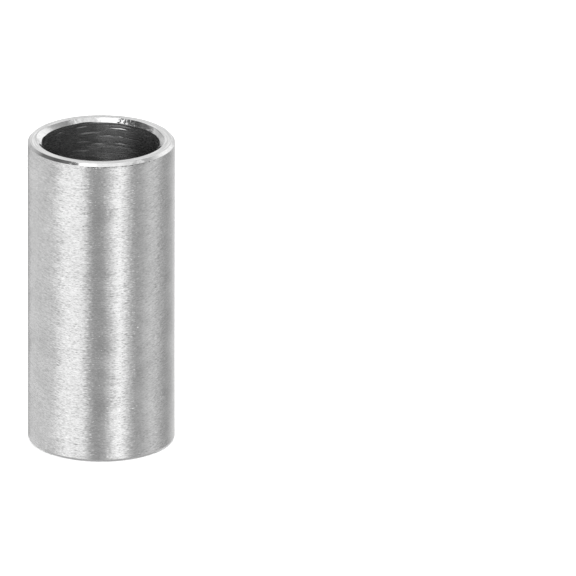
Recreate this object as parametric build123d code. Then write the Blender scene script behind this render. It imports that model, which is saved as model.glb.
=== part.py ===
from build123d import *
import os

# A turned spacer sleeve: a short length of tube, faced at both ends. The outer edge of each
# end is broken with a narrow bevel and each mouth of the bore is opened with a wider one.
# The sleeve stands on one end, with its axis along +Z and the origin at the centre of that end.

# Driving dimensions, in millimetres
BORE_DIAMETER = 8.0
WALL_THICKNESS = 1.0
SLEEVE_LENGTH = 21.5
RIM_BEVEL = 0.18           # bevel around the outer edge of an end, the same along and across
MOUTH_BEVEL_WIDTH = 0.33   # how much the bore widens at a mouth, measured on the radius
MOUTH_BEVEL_DEPTH = 0.24   # how far down the bore that widening reaches

bore_radius = BORE_DIAMETER / 2
outer_radius = bore_radius + WALL_THICKNESS


def end_outline(end_height, inward):
    """Corners of one end of the wall, from the bore out to the outer face.

    inward is +1 where the wall rises from this end and -1 where it hangs below it.
    """
    return [
        (bore_radius, end_height + inward * MOUTH_BEVEL_DEPTH),
        (bore_radius + MOUTH_BEVEL_WIDTH, end_height),
        (outer_radius - RIM_BEVEL, end_height),
        (outer_radius, end_height + inward * RIM_BEVEL),
    ]


def wall_section():
    """The cut wall, with X as the radius and Z as the height."""
    foot = end_outline(0, +1)
    head = end_outline(SLEEVE_LENGTH, -1)
    with BuildSketch(Plane.XZ) as section:
        with BuildLine():
            Polyline(*foot, *reversed(head), close=True)
        make_face()
    return section.sketch


def spacer_sleeve():
    return revolve(wall_section(), Axis.Z, 360)


os.makedirs("parts", exist_ok=True)
export_step(spacer_sleeve(), "parts/spacer_sleeve.step")
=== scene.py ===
import math
import random
from collections import namedtuple

import bpy
import numpy as np
from mathutils import Matrix, Vector


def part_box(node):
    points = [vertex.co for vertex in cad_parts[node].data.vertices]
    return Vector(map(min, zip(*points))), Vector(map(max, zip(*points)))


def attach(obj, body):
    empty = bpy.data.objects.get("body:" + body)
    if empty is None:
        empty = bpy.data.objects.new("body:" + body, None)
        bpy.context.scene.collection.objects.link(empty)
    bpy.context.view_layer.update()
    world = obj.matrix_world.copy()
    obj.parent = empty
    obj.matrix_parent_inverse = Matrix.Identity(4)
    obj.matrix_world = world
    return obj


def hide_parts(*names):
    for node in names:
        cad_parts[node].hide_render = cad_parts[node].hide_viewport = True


# A turned steel spacer sleeve stands on a pale floor under soft studio panels. The sleeve is one
# closed mesh, turned around the section of the CAD wall, with a finish for each surface that a
# lathe leaves: brushed outside, faced ends, polished outer bevels, countersunk mouths and a bored
# hole. Lengths are in metres, so those in millimetres are written with MM. Angles round the axis
# are in degrees anticlockwise from +X, seen from above.

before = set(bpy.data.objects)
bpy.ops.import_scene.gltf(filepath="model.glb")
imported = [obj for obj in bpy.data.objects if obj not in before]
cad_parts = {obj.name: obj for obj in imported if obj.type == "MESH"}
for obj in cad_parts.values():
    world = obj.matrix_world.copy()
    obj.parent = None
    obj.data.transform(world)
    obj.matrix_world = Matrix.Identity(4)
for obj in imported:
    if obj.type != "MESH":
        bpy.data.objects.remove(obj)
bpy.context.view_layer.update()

NODE = "spacer_sleeve"
MM = 0.001
low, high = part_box(NODE)
OUTER_RADIUS = (high.x - low.x) / 2

random.seed(11)

# ---------------------------------------------------------------------------------------------
# The sleeve's form

COLUMNS = 180               # steps around the axis, besides the closer ones beside each dent
LEAST_COLUMN = math.radians(0.1)        # columns lie no closer than this
WALL_RINGS = 14             # evenly spaced rings on the outer wall, counting its two edges
FLAT_RINGS = 4              # the same on every other run
LEAST_RING = 0.006 * MM     # rings lie no closer than this
SUPPORT = 0.012 * MM        # a ring this close to each rounded edge keeps the flats flat
EDGE_RADIUS = 0.02 * MM     # the slight round that a bevel's edges have
EDGE_STEPS = 4              # spans across each round
UV_MAP = "OFBake"

# The runs of the section, in the order that wall_corners() walks them, with the finish of each
RUNS = (
    ("bore", "bored"),
    ("upper mouth bevel", "countersunk"),
    ("upper face", "faced"),
    ("upper rim bevel", "polished"),
    ("outer wall", "brushed"),
    ("lower rim bevel", "polished"),
    ("lower face", "faced"),
    ("lower mouth bevel", "countersunk"),
)
FINISHES = ("brushed", "faced", "polished", "countersunk", "bored")
SIDES = len(RUNS)           # the section has as many corners as runs


def wall_corners():
    """Corners of the CAD wall's section as (radius, height), from the foot of the bore upwards."""
    found = {
        (round(math.hypot(v.co.x, v.co.y), 6), round(v.co.z, 6))
        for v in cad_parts[NODE].data.vertices
    }
    middle = np.mean(list(found), axis=0)
    clockwise = sorted(found, key=lambda p: -math.atan2(p[1] - middle[1], p[0] - middle[0]))
    start = clockwise.index(min(clockwise))
    return np.array(clockwise[start:] + clockwise[:start])


CORNERS = wall_corners()
WALL_TOP = CORNERS[4][1]    # the upper edge of the outer wall, below its bevel


def wander(seed, waves):
    """A smooth closed line around the axis, within -1 to 1, as a function of the angle."""
    source = random.Random(seed)
    terms = []
    for n in range(1, waves + 1):
        size = source.uniform(0.3, 1) / n
        phase = source.uniform(0, math.tau)
        terms.append((n, size, phase))
    total = sum(size for _, size, _ in terms)
    return lambda angle: sum(size * math.sin(n * angle + phase) for n, size, phase in terms) / total


BEVEL_WANDER = 0.015 * MM   # how far the edges of the bevels stray, all the way round
STRAYS = [wander(seed, waves=9) for seed in range(SIDES)]

BORE_SHIFT = 0.04 * MM      # how far the bore lies off the axis, toward -X

# Where single edges stray further: the angle, half of what it spans, and how far. MOUTH_EDGE raises
# the upper end of the bore. The others move the inner and the outer edge of the upper face outward.
# The countersink of this mouth was cut a little off the axis.
MOUTH_EDGE = ((28, 5, -0.025 * MM), (16, 4, -0.03 * MM), (57, 14, -0.03 * MM),
              (72, 3, 0.02 * MM), (96, 4, -0.015 * MM), (107, 18, 0.06 * MM), (116, 4, -0.02 * MM),
              (137, 22, 0.02 * MM), (160, 6, -0.02 * MM), (172, 10, 0.03 * MM))
FACE_EDGE = ((20, 42, -0.17 * MM), (162, 30, 0.13 * MM))
RIM_EDGE = ((228, 22, -0.015 * MM),)
# Where painted shade darkens the edge between the upper face and the mouth, for a burr there: the
# angle, half of what it spans, and how strongly
BURR_SHADES = ((19, 26, 0.45), (164, 26, 0.35))
BURR_SHADE_WIDTH = 0.05 * MM      # how far it reaches onto the face


def dip(away):
    """1 in the middle of a mark, falling smoothly to 0 at its edge, where away is 1."""
    return (1 - away * away) ** 2 if away < 1 else 0.0


def turned_by(angle, middle):
    """How far apart two angles are, at most half a turn."""
    return abs((angle - middle + math.pi) % math.tau - math.pi)


def swell(bumps, angle):
    """What a list of (middle, half of the span, rise) adds up to at one angle."""
    return sum(rise * dip(turned_by(angle, math.radians(middle)) / math.radians(span))
               for middle, span, rise in bumps)


def corners_at(angle):
    """The section's corners at one angle. Bevels stray a little along the faces they cut."""
    bore_foot, bore_head, face_in, face_out, rim_head, rim_foot, foot_out, foot_in = CORNERS.copy()
    stray = [BEVEL_WANDER * line(angle) for line in STRAYS]
    for bore_edge in (bore_foot, bore_head):
        bore_edge[0] -= BORE_SHIFT * math.cos(angle)
    bore_head[1] += stray[0] + swell(MOUTH_EDGE, angle)
    face_in[0] += stray[1] + swell(FACE_EDGE, angle)
    face_out[0] += stray[2] + swell(RIM_EDGE, angle)
    rim_head[1] += stray[3]
    rim_foot[1] += stray[4]
    foot_out[0] += stray[5]
    foot_in[0] += stray[6]
    bore_foot[1] += stray[7]
    return [bore_foot, bore_head, face_in, face_out, rim_head, rim_foot, foot_out, foot_in]


def run_length(run):
    """How long a run is in the CAD section."""
    i = [name for name, _ in RUNS].index(run)
    return float(np.linalg.norm(CORNERS[(i + 1) % SIDES] - CORNERS[i]))


# A groove runs part of the way round the axis: its distance along the run, half its width, its
# depth, the angle of its middle and half of what it spans. A distance below 0 is counted back from
# the end of the run.
Groove = namedtuple("Groove", "place half depth middle span")
GROOVE_RINGS = (-1.1, -0.55, 0, 0.55, 1.1)      # where its rings lie, in half widths


def tool_marks(run, count, half, deepest, start=0.0, end=1.0):
    """Grooves left by the cutting tool, from one share of a run's length to another, each in a
    stretch of its own."""
    length = run_length(run)
    marks = []
    for i in range(count):
        share = start + (end - start) * (i + random.uniform(0.2, 0.8)) / count
        depth = deepest * random.uniform(0.3, 1)
        middle = random.uniform(0, 360)
        span = random.uniform(23, 100)
        marks.append(Groove(share * length, half, depth, middle, span))
    return marks


# Single marks in the bore below the upper mouth, where they show
SCRATCHES = [
    Groove(-0.28 * MM, 0.07 * MM, 0.034 * MM, 110, 7),
    Groove(-0.36 * MM, 0.06 * MM, 0.032 * MM, 72, 13),
    Groove(-0.40 * MM, 0.05 * MM, 0.014 * MM, 40, 5),
    Groove(-0.34 * MM, 0.05 * MM, 0.012 * MM, 134, 7),
    Groove(-0.91 * MM, 0.05 * MM, 0.013 * MM, 84, 8),
    Groove(-0.95 * MM, 0.04 * MM, 0.009 * MM, 69, 9),
    Groove(-1.44 * MM, 0.035 * MM, 0.011 * MM, 71, 10),
    Groove(-2.12 * MM, 0.05 * MM, 0.013 * MM, 95, 8),
]
GROOVES = {
    "bore": (tool_marks("bore", 8, 0.05 * MM, 0.014 * MM, 0.0, 0.15)
             + tool_marks("bore", 10, 0.05 * MM, 0.014 * MM, 0.15, 0.85)
             + tool_marks("bore", 9, 0.05 * MM, 0.008 * MM, 0.85, 1.0)
             + SCRATCHES),
    "upper face": (tool_marks("upper face", 5, 0.03 * MM, 0.004 * MM)
                   + [Groove(0.05 * MM, 0.03 * MM, 0.010 * MM, 162, 22),
                      Groove(0.12 * MM, 0.03 * MM, 0.007 * MM, 168, 18),
                      Groove(0.04 * MM, 0.03 * MM, 0.008 * MM, 16, 20)]),
    "lower face": tool_marks("lower face", 5, 0.03 * MM, 0.004 * MM),
    "outer wall": [Groove(0.05 * MM, 0.04 * MM, 0.003 * MM, 290, 45)],
}

# A dent is round: the run it is on, its distance along it, its angle, its radius and its depth
Dent = namedtuple("Dent", "run place angle size depth")
DENT_COLUMNS = (-1, -0.66, -0.33, 0, 0.33, 0.66, 1)     # where its columns lie, in radii
DENT_RINGS = (-1, -0.5, 0, 0.5, 1)
DENTS = (
    Dent("upper mouth bevel", 0.20 * MM, 69, 0.13 * MM, 0.024 * MM),
    Dent("upper mouth bevel", 0.16 * MM, 73, 0.08 * MM, 0.014 * MM),
    Dent("upper mouth bevel", 0.17 * MM, 205, 0.15 * MM, 0.020 * MM),
    Dent("upper rim bevel", 0.15 * MM, 335, 0.16 * MM, 0.015 * MM),
    Dent("lower rim bevel", 0.08 * MM, 128, 0.16 * MM, 0.020 * MM),
    Dent("outer wall", 0.05 * MM, 264.5, 0.06 * MM, 0.018 * MM),
    Dent("outer wall", 0.07 * MM, 266.5, 0.07 * MM, 0.022 * MM),
    Dent("outer wall", 0.05 * MM, 269.5, 0.07 * MM, 0.024 * MM),
    Dent("outer wall", 0.06 * MM, 273, 0.05 * MM, 0.016 * MM),
)


# Each run's grooves, with where they lie from its start
LAID = {
    run: [(groove.place % run_length(run), groove) for groove in GROOVES.get(run, ())]
    for run, _ in RUNS
}


def cut(run, place, radius, angle):
    """How deep the grooves and dents are at a distance along a run."""
    depth = 0.0
    for start, groove in LAID[run]:
        off = abs(place - start) / groove.half
        if off < 1:
            turn = turned_by(angle, math.radians(groove.middle)) / math.radians(groove.span)
            depth += groove.depth * dip(off) * dip(turn)
    for dent in DENTS:
        if dent.run == run:
            turn = turned_by(angle, math.radians(dent.angle)) * radius
            depth += dent.depth * dip(math.hypot(turn, place - dent.place) / dent.size)
    return depth


def spaced(places, least):
    """The places in order, without those that come too soon after another."""
    kept = []
    for place in sorted(places):
        if not kept or place - kept[-1] > least:
            kept.append(place)
    return kept


def stations(run):
    """Where the rings of a run lie, as distances from its start."""
    length = run_length(run)
    rings = WALL_RINGS if run == "outer wall" else FLAT_RINGS
    inner = list(np.linspace(0, length, rings)[1:-1])
    for start, groove in LAID[run]:
        inner += [start + groove.half * k for k in GROOVE_RINGS]
    for dent in DENTS:
        if dent.run == run:
            inner += [dent.place + dent.size * k for k in DENT_RINGS]
    inner = [place for place in spaced(inner, LEAST_RING)
             if 2 * SUPPORT < place < length - 2 * SUPPORT]
    return [0.0, SUPPORT] + inner + [length - SUPPORT, length]


STATIONS = {run: stations(run) for run, _ in RUNS}


def columns():
    """The angles that the section is drawn at: even steps, and closer ones beside each dent."""
    angles = {math.tau * j / COLUMNS for j in range(COLUMNS)}
    for dent in DENTS:
        angles |= {math.radians(dent.angle) + k * dent.size / OUTER_RADIUS for k in DENT_COLUMNS}
    return spaced(angles, LEAST_COLUMN)


def heading(start, end):
    """The unit vector from one point of the section to another."""
    return (end - start) / np.linalg.norm(end - start)


def rounding(before, corner, after):
    """How much of each side an edge's round takes up."""
    bend = float(heading(before, corner) @ heading(corner, after))
    return EDGE_RADIUS * math.tan(math.acos(max(-1.0, min(1.0, bend))) / 2)


def section_at(angle):
    """Points of the rounded section at one angle, the run that the span after each is on, and the
    strength of the painted shade along the burr at each."""
    corners = corners_at(angle)
    # how strongly painted shade darkens the edge along the burr at this angle
    burr_shade = swell(BURR_SHADES, angle)
    points = []
    spans = []
    burr_shades = []
    for i, (run, _) in enumerate(RUNS):
        before, near, far, after = (corners[(i + k) % SIDES] for k in (-1, 0, 1, 2))
        along = heading(near, far)
        inward = np.array((along[1], -along[0]))
        start = near + along * rounding(before, near, far)
        end = far - along * rounding(near, far, after)
        for place in STATIONS[run]:
            share = place / STATIONS[run][-1]
            points.append(start + (end - start) * share + inward * cut(run, place, start[0], angle))
            spans.append(i)
            burr_shades.append(burr_shade if run == "upper face" and place < BURR_SHADE_WIDTH else 0.0)
        # the round is a curve from this run's end to the next one's start, pulled toward the corner
        onward = far + heading(far, after) * rounding(near, far, after)
        for k in range(1, EDGE_STEPS):
            t = k / EDGE_STEPS
            points.append((1 - t) ** 2 * end + 2 * t * (1 - t) * far + t * t * onward)
            burr_shades.append(burr_shade if run == "upper mouth bevel" else 0.0)
        # it belongs to the bevel that it is beside, from the run's last point on
        bevel = i if "bevel" in run else (i + 1) % SIDES
        spans[-1:] = [bevel] * EDGE_STEPS
    return np.array(points), spans, burr_shades


# Where each surface lies on the UV map: the corner it starts from, its way round the axis, and its
# way along the section. None is mirrored.
ISLANDS = {
    "outside": (Vector((0.0, 1.0)), Vector((0.60, 0.0)), Vector((0.0, -1.0))),
    "inside": (Vector((0.80, 0.0)), Vector((-0.19, 0.0)), Vector((0.0, 1.0))),
    "upper end": (Vector((0.81, 0.51)), Vector((0.0, 0.49)), Vector((0.19, 0.0))),
    "lower end": (Vector((0.81, 0.0)), Vector((0.0, 0.49)), Vector((0.19, 0.0))),
}
# The surface that each run is part of
SURFACES = ("inside",) + ("upper end",) * 3 + ("outside",) + ("lower end",) * 3


def unwrap(mesh, angles, section, spans):
    """Lays the surfaces out flat, each by its angle and its distance along the section."""
    count = len(spans)
    surfaces = [SURFACES[span] for span in spans]
    lengths = dict.fromkeys(ISLANDS, 0.0)
    stretches = []
    for k, surface in enumerate(surfaces):
        start = lengths[surface]
        end = start + float(np.linalg.norm(section[(k + 1) % count] - section[k]))
        stretches.append((start, end))
        lengths[surface] = end
    places = []
    for angle, following in zip(angles, angles[1:] + [math.tau]):
        for surface, (start, end) in zip(surfaces, stretches):
            corner, around, along = ISLANDS[surface]
            for turn, way in ((angle, start), (following, start), (following, end), (angle, end)):
                place = corner + around * (turn / math.tau) + along * (way / lengths[surface])
                places.extend(place)
    layer = mesh.uv_layers.new(name=UV_MAP)
    layer.data.foreach_set("uv", places)


def sleeve_mesh():
    """The section turned around the axis, as one closed mesh of four-sided faces."""
    angles = columns()
    points = []
    sections = []
    burr_shades = []
    for angle in angles:
        section, spans, burr_shade = section_at(angle)
        sections.append(section)
        burr_shades += burr_shade
        points += [(radius * math.cos(angle), radius * math.sin(angle), height)
                   for radius, height in section]
    count = len(spans)
    faces = []
    finishes = []
    for j in range(len(angles)):
        here = j * count
        beside = (j + 1) % len(angles) * count
        for k in range(count):
            onward = (k + 1) % count
            faces.append((here + k, beside + k, beside + onward, here + onward))
            finishes.append(FINISHES.index(RUNS[spans[k]][1]))
    mesh = bpy.data.meshes.new("sleeve")
    mesh.from_pydata(points, [], faces)
    mesh.polygons.foreach_set("material_index", finishes)
    mesh.polygons.foreach_set("use_smooth", [True] * len(faces))
    unwrap(mesh, angles, sections[0], spans)
    # the strength of the painted shade along the burr, point by point
    mesh.attributes.new("burr_shade", "FLOAT", "POINT").data.foreach_set("value", burr_shades)
    mesh.update()
    return mesh


# ---------------------------------------------------------------------------------------------
# Materials


class Nodes:
    """Adds nodes to one tree, and returns their sockets."""

    def __init__(self, tree):
        self.tree = tree
        tree.nodes.clear()

    def node(self, kind, **settings):
        """A new node, with what is set on it."""
        made = self.tree.nodes.new(kind)
        for name, value in settings.items():
            setattr(made, name, value)
        return made

    def feed(self, socket, value):
        """Links a field to a socket, or sets a plain value on it."""
        if isinstance(value, bpy.types.NodeSocket):
            self.tree.links.new(value, socket)
        else:
            socket.default_value = value

    def math(self, operation, a, b=0.0, c=0.0):
        """The result of an operation on fields or plain numbers."""
        made = self.node("ShaderNodeMath", operation=operation)
        for socket, value in zip(made.inputs, (a, b, c)):
            self.feed(socket, value)
        return made.outputs[0]

    def vector(self, operation, a, b=(0, 0, 0), scale=None):
        """The result of an operation on vectors: a number, or another vector."""
        made = self.node("ShaderNodeVectorMath", operation=operation)
        self.feed(made.inputs[0], a)
        self.feed(made.inputs[1], b)
        if scale is not None:
            self.feed(made.inputs["Scale"], scale)
        return made.outputs["Value" if operation in ("DOT_PRODUCT", "LENGTH") else "Vector"]

    def ramp(self, value, start, end):
        """value brought smoothly from start..end to 0..1."""
        made = self.node("ShaderNodeMapRange", interpolation_type="SMOOTHSTEP")
        for name, number in zip(("Value", "From Min", "From Max"), (value, start, end)):
            self.feed(made.inputs[name], number)
        return made.outputs[0]

    def noise(self, vector, detail):
        """3-D noise, centred on 0."""
        made = self.node("ShaderNodeTexNoise")
        self.feed(made.inputs["Vector"], vector)
        made.inputs["Scale"].default_value = 1.0
        made.inputs["Detail"].default_value = detail
        made.inputs["Roughness"].default_value = 0.5
        return self.math("SUBTRACT", made.outputs[0], 0.5)


class Steel(Nodes):
    """A bare steel finish, with what its surface detail is laid out along."""

    def __init__(self, name, flat_end=False):
        self.material = bpy.data.materials.new(name)
        self.material.use_nodes = True
        super().__init__(self.material.node_tree)
        self.place = self.node("ShaderNodeTexCoord").outputs["Object"]
        self.normal = self.node("ShaderNodeNewGeometry").outputs["Normal"]
        flat = self.vector("MULTIPLY", self.place, (1, 1, 0))
        self.outward = self.vector("NORMALIZE", flat)
        self.around = self.vector("CROSS_PRODUCT", (0, 0, 1), self.outward)
        self.across = self.vector("CROSS_PRODUCT", self.normal, self.around)
        self.height = self.vector("DOT_PRODUCT", self.place, (0, 0, 1))
        run = self.vector("LENGTH", flat) if flat_end else self.height
        self.along = self.vector("SCALE", (0, 0, 1), scale=run)
        self.shader = self.node("ShaderNodeBsdfPrincipled")
        self.shader.inputs["Metallic"].default_value = 1.0
        output = self.node("ShaderNodeOutputMaterial")
        self.tree.links.new(self.shader.outputs[0], output.inputs["Surface"])

    def marks(self, around, across, detail=1):
        """Noise in marks about that long around the axis and that wide across it, centred on 0."""
        place = self.vector("ADD",
                            self.vector("SCALE", self.outward, scale=OUTER_RADIUS / around),
                            self.vector("SCALE", self.along, scale=1 / across))
        return self.noise(place, detail)

    def strokes(self, angle, slant, long, wide):
        """Noise in straight strokes that rise by slant degrees, for places near that angle."""
        turn = math.radians(angle)
        rise = math.radians(slant)
        around = Vector((-math.sin(turn), math.cos(turn), 0))
        up = Vector((0, 0, 1))
        onward = around * math.cos(rise) + up * math.sin(rise)
        aside = up * math.cos(rise) - around * math.sin(rise)
        place = self.node("ShaderNodeCombineXYZ")
        self.feed(place.inputs[0], self.vector("DOT_PRODUCT", self.place, tuple(onward / long)))
        self.feed(place.inputs[1], self.vector("DOT_PRODUCT", self.place, tuple(aside / wide)))
        return self.noise(place.outputs[0], 2)

    def near(self, angle, half, soft):
        """1 within half degrees of an angle round the axis, and 0 from soft degrees further on."""
        middle = (math.cos(math.radians(angle)), math.sin(math.radians(angle)), 0)
        facing = self.vector("DOT_PRODUCT", self.outward, middle)
        return self.ramp(facing, math.cos(math.radians(half + soft)), math.cos(math.radians(half)))

    def burr_shade(self):
        """The strength of the painted shade along the burr, which the mesh carries."""
        return self.node("ShaderNodeAttribute", attribute_name="burr_shade").outputs["Fac"]

    def sum_of(self, weighed):
        """The sum of (field, weight) pairs."""
        total = 0.0
        for field, weight in weighed:
            total = self.math("MULTIPLY_ADD", field, weight, total)
        return total

    def tilt(self, around, across):
        """Leans the surface around the axis and across the marks, by sums of (field, weight)."""
        lean = self.vector("ADD",
                           self.vector("SCALE", self.around, scale=self.sum_of(around)),
                           self.vector("SCALE", self.across, scale=self.sum_of(across)))
        leaned = self.vector("NORMALIZE", self.vector("ADD", self.normal, lean))
        self.feed(self.shader.inputs["Normal"], leaned)

    def grey(self, base, *weighed):
        """A grey that a sum of (field, weight) makes lighter or darker than its base."""
        value = self.math("ADD", self.sum_of(weighed), base)
        colour = self.node("ShaderNodeCombineColor")
        for socket in colour.inputs:
            self.feed(socket, value)
        self.feed(self.shader.inputs["Base Color"], colour.outputs[0])

    def gloss(self, roughness, stretch=0.0, turn=0.0):
        """How blurred its reflections are, how much more so one way, and which way."""
        self.feed(self.shader.inputs["Roughness"], roughness)
        self.shader.inputs["Anisotropic"].default_value = stretch
        self.shader.inputs["Anisotropic Rotation"].default_value = turn
        tangent = self.node("ShaderNodeTangent", direction_type="UV_MAP", uv_map=UV_MAP)
        self.tree.links.new(tangent.outputs[0], self.shader.inputs["Tangent"])


# Where the brushed wall was rubbed at a slant: the angle, half of what it spans, the slant in
# degrees and how strongly
RUBS = ((216, 20, -16, 0.9), (322, 16, 20, 0.9))
# Painted shade in the nicks of its upper edge: the angle, half of what it spans, and the softness
# of its ends
SHADED_NICKS = ((288, 24, 12), (268, 6, 3))
# The same for the countersinks, where the cutter chattered, with how strongly, and left ripples
CHATTERED = (((64, 7, 4), 1.0), ((126, 14, 10), 0.3))
RIPPLED = (46, 12, 6)
QUARTER_TURN = 0.25         # of the direction in which reflections are stretched


def rubs_of(steel):
    """Slanted strokes in the places that were rubbed."""
    rubs = 0.0
    for angle, half, slant, strength in RUBS:
        strokes = steel.strokes(angle, slant, 0.7 * MM, 0.11 * MM)
        there = steel.math("MULTIPLY", steel.near(angle, half, 10), strength)
        rubs = steel.math("MULTIPLY_ADD", strokes, there, rubs)
    return rubs


def nick_shade_of(steel):
    """Dark specks of painted shade in the nicks along stretches of the wall's upper edge."""
    shade_specks = steel.ramp(steel.marks(0.12 * MM, 0.06 * MM, detail=2), -0.05, 0.12)
    edge = steel.ramp(steel.height, WALL_TOP - 0.11 * MM, WALL_TOP - 0.04 * MM)
    nicked_stretches = steel.sum_of([(steel.near(*place), 1.0) for place in SHADED_NICKS])
    return steel.math("MULTIPLY", steel.math("MULTIPLY", shade_specks, edge), nicked_stretches)


def brushed_steel():
    """The outside: short fine strokes around the sleeve, with a few long ones among them."""
    steel = Steel("brushed_steel")
    grain = steel.marks(0.20 * MM, 0.055 * MM)
    glints = steel.marks(0.20 * MM, 0.065 * MM)
    hairs = steel.marks(0.9 * MM, 0.055 * MM, detail=2)
    lumps = steel.marks(2.2 * MM, 1.7 * MM)
    # cubed, so that only the strongest glints are left
    sharp = steel.math("MULTIPLY", steel.math("MULTIPLY", glints, glints),
                       steel.math("MULTIPLY", glints, 8.0))
    rubs = rubs_of(steel)
    steel.tilt(around=[(glints, 0.02), (sharp, 1.0), (hairs, 0.015), (lumps, 0.11)],
               across=[(grain, 0.46), (hairs, 0.36), (rubs, 0.35)])
    # the nick specks are painted shade, darkening the grey
    steel.grey(0.62, (grain, 0.46), (hairs, 0.23), (rubs, 0.25), (lumps, 0.22),
               (nick_shade_of(steel), -0.45))
    steel.gloss(steel.math("MULTIPLY_ADD", lumps, 0.1, 0.24), stretch=0.5, turn=QUARTER_TURN)
    return steel.material


def faced_steel():
    """The two ends: faint lines from the facing tool, around the axis."""
    steel = Steel("faced_steel", flat_end=True)
    lines = steel.marks(2.2 * MM, 0.09 * MM, detail=2)
    lumps = steel.marks(0.8 * MM, 0.8 * MM)
    steel.tilt(around=[(lumps, 0.06)], across=[(lines, 0.35)])
    # the burr line is painted shade, darkening the grey
    steel.grey(0.65, (lines, 0.6), (lumps, 0.1), (steel.burr_shade(), -1.0))
    steel.gloss(0.25, stretch=0.4)
    return steel.material


def polished_steel():
    """The outer bevels: bright, and a little uneven from being broken by hand."""
    steel = Steel("polished_steel")
    scuffs = steel.marks(0.3 * MM, 0.1 * MM, detail=2)
    waves = steel.marks(0.9 * MM, 0.5 * MM)
    steel.tilt(around=[(scuffs, 0.14), (waves, 0.10)],
               across=[(scuffs, 0.16), (waves, 0.12)])
    steel.grey(0.65, (scuffs, 0.25), (waves, 0.1))
    steel.gloss(0.13)
    return steel.material


def countersunk_steel():
    """The bevels of the mouths: bright too, with patches of chatter and ripples from the cutter."""
    steel = Steel("countersunk_steel")
    patches = steel.sum_of([(steel.near(*place), strength) for place, strength in CHATTERED])
    chatter = steel.math("MULTIPLY", steel.marks(0.14 * MM, 0.2 * MM, detail=3), patches)
    ripples = steel.math("MULTIPLY", steel.marks(0.5 * MM, 0.08 * MM), steel.near(*RIPPLED))
    scuffs = steel.marks(0.2 * MM, 0.12 * MM, detail=2)
    waves = steel.marks(0.9 * MM, 0.5 * MM)
    steel.tilt(around=[(chatter, 0.9), (scuffs, 0.12), (waves, 0.10)],
               across=[(chatter, 0.9), (ripples, 0.6), (scuffs, 0.16), (waves, 0.12)])
    # the burr line is painted shade, darkening the grey
    steel.grey(0.65, (chatter, 1.6), (ripples, 0.6), (scuffs, 0.25), (waves, 0.1),
               (steel.burr_shade(), -1.0))
    steel.gloss(0.13)
    return steel.material


def bored_steel():
    """The inside: a darker surface with arcs from the boring tool, about two millimetres long."""
    steel = Steel("bored_steel")
    arcs = steel.marks(2.0 * MM, 0.12 * MM)
    blotches = steel.marks(1.2 * MM, 0.5 * MM, detail=2)
    bright = steel.ramp(arcs, 0.08, 0.22)
    steel.tilt(around=[(blotches, 0.1)], across=[(arcs, 0.5), (bright, 0.22)])
    steel.grey(0.46, (arcs, 0.8), (bright, 0.2), (blotches, 0.3))
    steel.gloss(0.27, stretch=0.85, turn=QUARTER_TURN)
    return steel.material


# ---------------------------------------------------------------------------------------------
# The studio

# The light all comes from the world, which is drawn as brightnesses. Degrees round go to the right
# from the camera's side, and degrees up from the level. The camera looks toward +Y.

BACKGROUND = 0.45
# Panels that stand round the sleeve: the middle in degrees round, half the width, the softness of
# the edges, and what they add to the background
STANDING = (
    (-46, 23.5, 10, 0.94),      # key softbox, front left
    (-112, 42, 4, 0.42),        # its weaker neighbour, to the left and behind
    (29, 5, 26, 2.0),           # strip light, front right
    (87, 17, 20, 0.43),         # fill, right
    (166, 26, 24, 0.39),        # fill, behind
    (-152, 5, 12, -0.22),       # black flag behind the left edge
)
# Above them is a plain ceiling. Below is what the sleeve mirrors in place of the floor. Each has a
# brightness, and begins over a range of heights, as parts of a direction that point up.
CEILING = 1.05
CEILING_FROM = (0.05, 0.2)
BELOW = 0.55
BELOW_FROM = (-0.5, -0.65)
# Panels over these: from and to in degrees round, from and to in degrees up, the softness of the
# edges, and the brightness. A later one covers those before it.
HUNG = (
    (-172, -128, -12, 26, 4, 0.77),  # rear wall, left
    (-148, -134, 4, 13, 4, 0.62),    # a darker patch of it
    (55, 172, 12, 60, 6, 1.35),      # bounce board, right
    (93, 141, 40, 66, 6, 0.60),      # gap in it
    (112, 132, 48, 66, 5, 0.42),     # the darkest part of the gap
    (-136, -66, 24, 60, 14, 0.22),   # loose lower edge of the black flag
    (-134, -50, 38, 76, 5, 0.20),    # black flag, left
    (-138, -98, 50, 76, 5, 0.10),    # its darkest part
    (150, 210, 34, 66, 5, 0.35),     # gap above the rear wall
    (-62, 2, 14, 52, 8, 1.9),        # front fill, left
    (8, 86, 2, 42, 6, 0.35),         # dim corner, right
)
# Overhead hang a broad white panel and, partly over it, a hot softbox that is set at a slant. Their
# places are parts of a direction: how far it leans right and how far toward the camera. Each is a
# middle, half the width and the softness of the edges.
OVERHEAD_FROM = (0.6, 0.7)  # the range of heights over which both begin
PANEL_RIGHT = (0.0, 0.375, 0.05)
PANEL_TOWARD = (0.27, 0.22, 0.05)
PANEL = 1.33                # brightness
HOT_RIGHT = (-0.135, 0.17, 0.025)
HOT_TOWARD = (0.075, 0.425, 0.05)
HOT_SLANT = 0.45            # how much further left it lies for each step toward the camera
HOT = 1.75                  # brightness
FLOOR_EXTRA = 1.6           # what the floor gets besides, so that it comes out white
WHITE = (1, 1, 1, 1)


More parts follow.
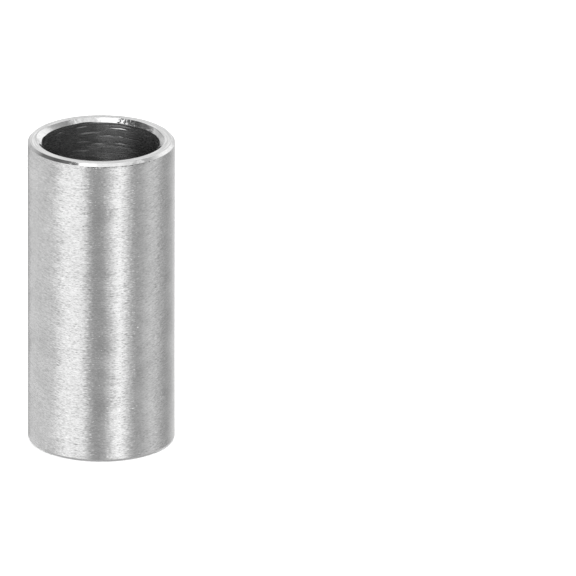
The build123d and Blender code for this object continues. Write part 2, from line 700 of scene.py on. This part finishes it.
def studio_world():
    """The panels, drawn on the world by direction."""
    world = bpy.data.worlds.new("studio")
    world.use_nodes = True
    bpy.context.scene.world = world
    nodes = Nodes(world.node_tree)
    direction = nodes.vector("NORMALIZE", nodes.node("ShaderNodeTexCoord").outputs["Generated"])
    level = nodes.vector("NORMALIZE", nodes.vector("MULTIPLY", direction, (1, 1, 0)))
    right = nodes.vector("DOT_PRODUCT", direction, (1, 0, 0))
    toward = nodes.vector("DOT_PRODUCT", direction, (0, -1, 0))
    up = nodes.vector("DOT_PRODUCT", direction, (0, 0, 1))
    raised = nodes.math("ARCSINE", up)

    def within(value, half, soft):
        """1 where value is under half, 0 where it is over, with an edge that soft to each side."""
        return nodes.ramp(value, half + soft, half - soft)

    def turned_from(azimuth):
        """The angle round the sleeve from a direction."""
        a = math.radians(azimuth)
        facing = (math.sin(a), -math.cos(a), 0)
        return nodes.math("ARCCOSINE", nodes.vector("DOT_PRODUCT", level, facing))

    def across(value, middle, half, soft):
        """1 where value is within half of the middle."""
        return within(nodes.math("ABSOLUTE", nodes.math("SUBTRACT", value, middle)), half, soft)

    def laid_over(under, over, where):
        """One brightness with another over it, as far as where is 1."""
        return nodes.math("MULTIPLY_ADD", nodes.math("SUBTRACT", over, under), where, under)

    standing = BACKGROUND
    for azimuth, half, soft, brightness in STANDING:
        there = within(turned_from(azimuth), math.radians(half), math.radians(soft))
        standing = nodes.math("MULTIPLY_ADD", there, brightness, standing)
    room = laid_over(standing, CEILING, nodes.ramp(up, *CEILING_FROM))

    for start, end, bottom, top, soft, brightness in HUNG:
        soft = math.radians(soft)
        round_it = within(turned_from((start + end) / 2), math.radians((end - start) / 2), soft)
        middle = math.radians((bottom + top) / 2)
        up_it = across(raised, middle, math.radians((top - bottom) / 2), soft)
        room = laid_over(room, brightness, nodes.math("MULTIPLY", round_it, up_it))

    overhead = nodes.ramp(up, *OVERHEAD_FROM)
    panel = nodes.math("MULTIPLY", across(right, *PANEL_RIGHT), across(toward, *PANEL_TOWARD))
    room = laid_over(room, PANEL, nodes.math("MULTIPLY", panel, overhead))
    slanted = nodes.math("MULTIPLY_ADD", toward, HOT_SLANT, right)
    hot = nodes.math("MULTIPLY", across(slanted, *HOT_RIGHT), across(toward, *HOT_TOWARD))
    room = laid_over(room, HOT, nodes.math("MULTIPLY", hot, overhead))
    room = laid_over(room, BELOW, nodes.ramp(up, *BELOW_FROM))

    background = nodes.node("ShaderNodeBackground")
    background.inputs["Color"].default_value = WHITE
    # diffuse rays leave from the floor alone, as the sleeve is all metal
    path = nodes.node("ShaderNodeLightPath")
    share = nodes.math("MULTIPLY_ADD", path.outputs["Is Diffuse Ray"], FLOOR_EXTRA, 1.0)
    nodes.feed(background.inputs["Strength"], nodes.math("MULTIPLY", room, share))
    # the camera sees plain white beyond the floor
    backdrop = nodes.node("ShaderNodeBackground")
    backdrop.inputs["Color"].default_value = WHITE
    seen = nodes.node("ShaderNodeMixShader")
    nodes.feed(seen.inputs[0], path.outputs["Is Camera Ray"])
    nodes.feed(seen.inputs[1], background.outputs[0])
    nodes.feed(seen.inputs[2], backdrop.outputs[0])
    output = nodes.node("ShaderNodeOutputWorld")
    nodes.feed(output.inputs["Surface"], seen.outputs[0])


FLOOR_HALF = 2.0            # half the side of the square floor, in metres
FLOOR_GAP = 0.002 * MM      # keeps it clear of the sleeve's lower face
FLOOR_GREY = (0.9, 0.9, 0.9, 1)


def floor():
    """A plain pale floor, which reflections don't show."""
    reach = FLOOR_HALF
    corners = [(-reach, -reach, 0), (reach, -reach, 0), (reach, reach, 0), (-reach, reach, 0)]
    mesh = bpy.data.meshes.new("floor")
    mesh.from_pydata(corners, [], [(0, 1, 2, 3)])
    made = bpy.data.objects.new("floor", mesh)
    made.location.z = low.z - FLOOR_GAP
    bpy.context.scene.collection.objects.link(made)
    material = bpy.data.materials.new("floor")
    material.use_nodes = True
    nodes = Nodes(material.node_tree)
    shader = nodes.node("ShaderNodeBsdfDiffuse")
    shader.inputs["Color"].default_value = FLOOR_GREY
    output = nodes.node("ShaderNodeOutputMaterial")
    nodes.feed(output.inputs["Surface"], shader.outputs[0])
    mesh.materials.append(material)
    made.visible_glossy = False


ELEVATION = 20.57           # of the camera, in degrees up from the level
LENS = 1000                 # millimetres, long enough to keep the sleeve's sides parallel
SENSOR = 36
PICTURE_WIDTH = 3.911 * 2 * OUTER_RADIUS        # what the picture covers at the sleeve
AXIS_PLACE = 0.1759         # how far from its left the axis stands, in picture widths


def camera():
    """A long lens that looks down at the sleeve, with the sleeve at the left of the picture."""
    elevation = math.radians(ELEVATION)
    distance = PICTURE_WIDTH * LENS / SENSOR
    back = Vector((0, -math.cos(elevation), math.sin(elevation)))
    aside = (0.5 - AXIS_PLACE) * PICTURE_WIDTH
    # off the middle the sleeve would lean a little, and the roll sets it upright
    roll = math.atan(aside / distance * math.tan(elevation))
    right = Vector((1, 0, 0))
    up = back.cross(right)
    turned = Matrix.Rotation(roll, 3, back)
    right = turned @ right
    up = turned @ up
    centre = Vector(((low.x + high.x) / 2, (low.y + high.y) / 2, (low.z + high.z) / 2))
    data = bpy.data.cameras.new("camera")
    data.lens = LENS
    data.sensor_width = SENSOR
    data.clip_start = distance / 10
    data.clip_end = distance * 10
    made = bpy.data.objects.new("camera", data)
    bpy.context.scene.collection.objects.link(made)
    axes = Matrix((right, up, back)).transposed().to_4x4()
    made.matrix_world = Matrix.Translation(centre + right * aside + back * distance) @ axes
    bpy.context.scene.camera = made


bpy.context.scene.view_settings.view_transform = "Standard"
camera()
studio_world()
floor()
sleeve = bpy.data.objects.new("sleeve", sleeve_mesh())
bpy.context.scene.collection.objects.link(sleeve)
# the materials, in the order of FINISHES
for make in (brushed_steel, faced_steel, polished_steel, countersunk_steel, bored_steel):
    sleeve.data.materials.append(make())
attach(sleeve, "root")
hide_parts(NODE)
